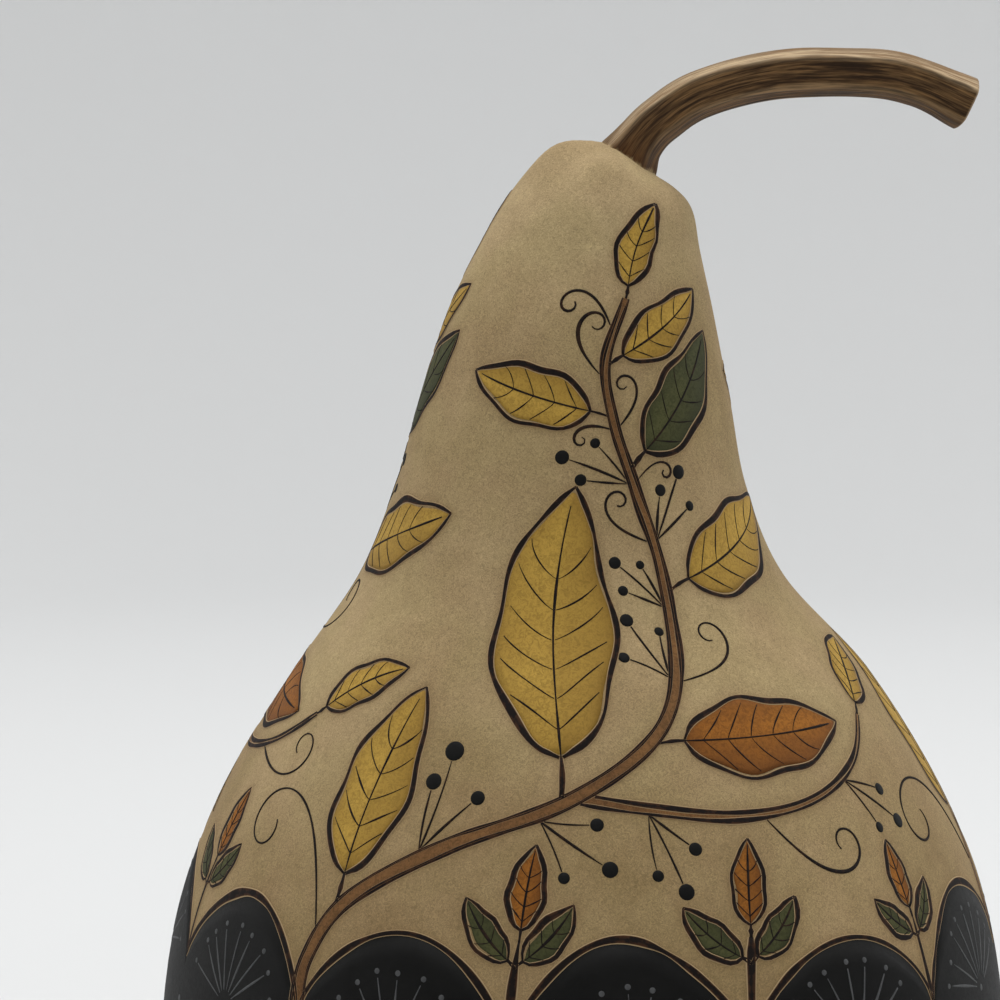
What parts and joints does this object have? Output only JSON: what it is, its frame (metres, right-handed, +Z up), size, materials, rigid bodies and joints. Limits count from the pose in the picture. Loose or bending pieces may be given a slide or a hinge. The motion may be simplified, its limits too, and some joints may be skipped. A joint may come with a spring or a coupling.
{
  "type": "painted gourd",
  "caption": "Pear-shaped dried gourd that stands on its base, with a burned and painted leaf design in ochre, green and black on tan and an arched woody stem",
  "frame": {"origin": "Centre of the flat under the base, on the surface that the gourd stands on", "axes": "+Z is up through the neck; the stem arches towards +X; the front, as pictured, faces -Y"},
  "size_m": [0.256, 0.256, 0.4089],
  "materials": {
    "shell": "matte",
    "stem": "satin"
  },
  "bodies": {
    "root": {"gourd_shell": "shell", "stem": "stem"}
  },
  "joints": []
}
